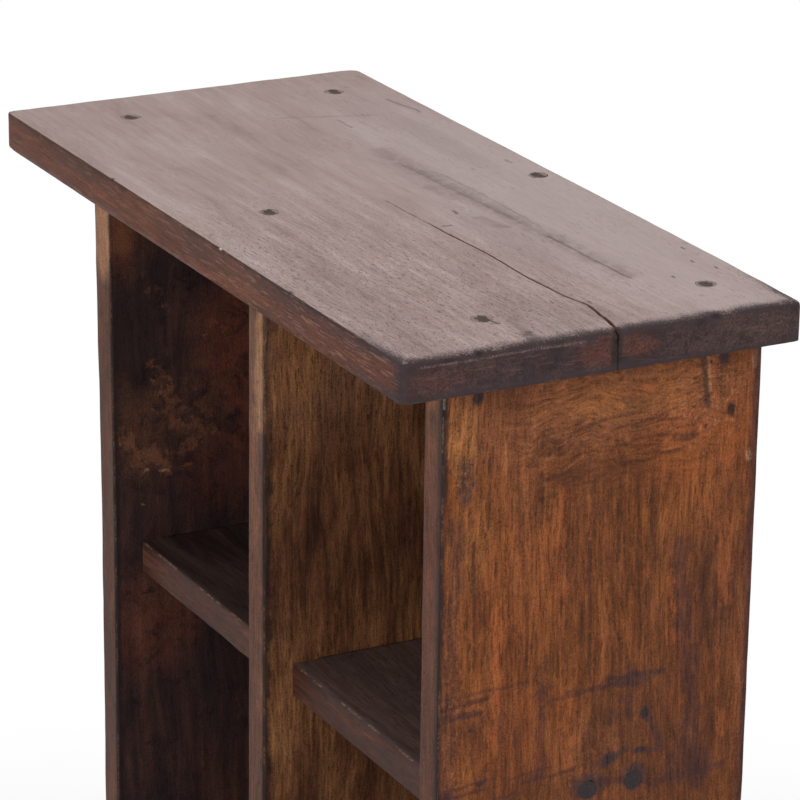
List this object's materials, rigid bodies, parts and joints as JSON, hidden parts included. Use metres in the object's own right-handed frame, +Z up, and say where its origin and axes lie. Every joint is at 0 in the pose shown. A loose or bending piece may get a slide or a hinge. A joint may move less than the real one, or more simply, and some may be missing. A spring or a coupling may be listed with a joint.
{
  "type": "cd shelf",
  "caption": "Tall narrow free-standing shelf for disc cases in dark reclaimed wood: two columns of open bays between an overhanging top and a matching base, with a closed back.",
  "frame": {"origin": "centre of the underside of the base board, on the floor", "axes": "+X to the right across the width, +Y to the closed back, -Y out of the open front, +Z up"},
  "size_m": [0.362, 0.166, 1.05],
  "materials": {
    "top_wood": "worn, waxed, greyed dark hardwood",
    "upright_wood": "stained red-brown hardwood with dark streaks, satin wax",
    "shelf_wood": "dark stained hardwood, worn front arris",
    "back_wood": "dark stained hardwood, dull",
    "plug_filler": "dark wood filler, matt",
    "steel": "plain steel screws and nails"
  },
  "bodies": {
    "root": {"top_board": "top_wood", "base_board": "top_wood", "left_side": "upright_wood", "right_side": "upright_wood", "divider": "upright_wood", "left_shelf_1": "shelf_wood", "left_shelf_2": "shelf_wood", "left_shelf_3": "shelf_wood", "left_shelf_4": "shelf_wood", "left_shelf_5": "shelf_wood", "left_back": "back_wood", "right_shelf_1": "shelf_wood", "right_shelf_2": "shelf_wood", "right_shelf_3": "shelf_wood", "right_shelf_4": "shelf_wood", "right_shelf_5": "shelf_wood", "right_back": "back_wood", "top_screws": "steel", "base_screws": "steel", "left_shelf_screws": "steel", "right_shelf_screws": "steel", "left_back_nails": "steel", "right_back_nails": "steel", "top_plugs": "plug_filler", "left_side_plugs": "plug_filler", "right_side_plugs": "plug_filler"}
  },
  "joints": []
}
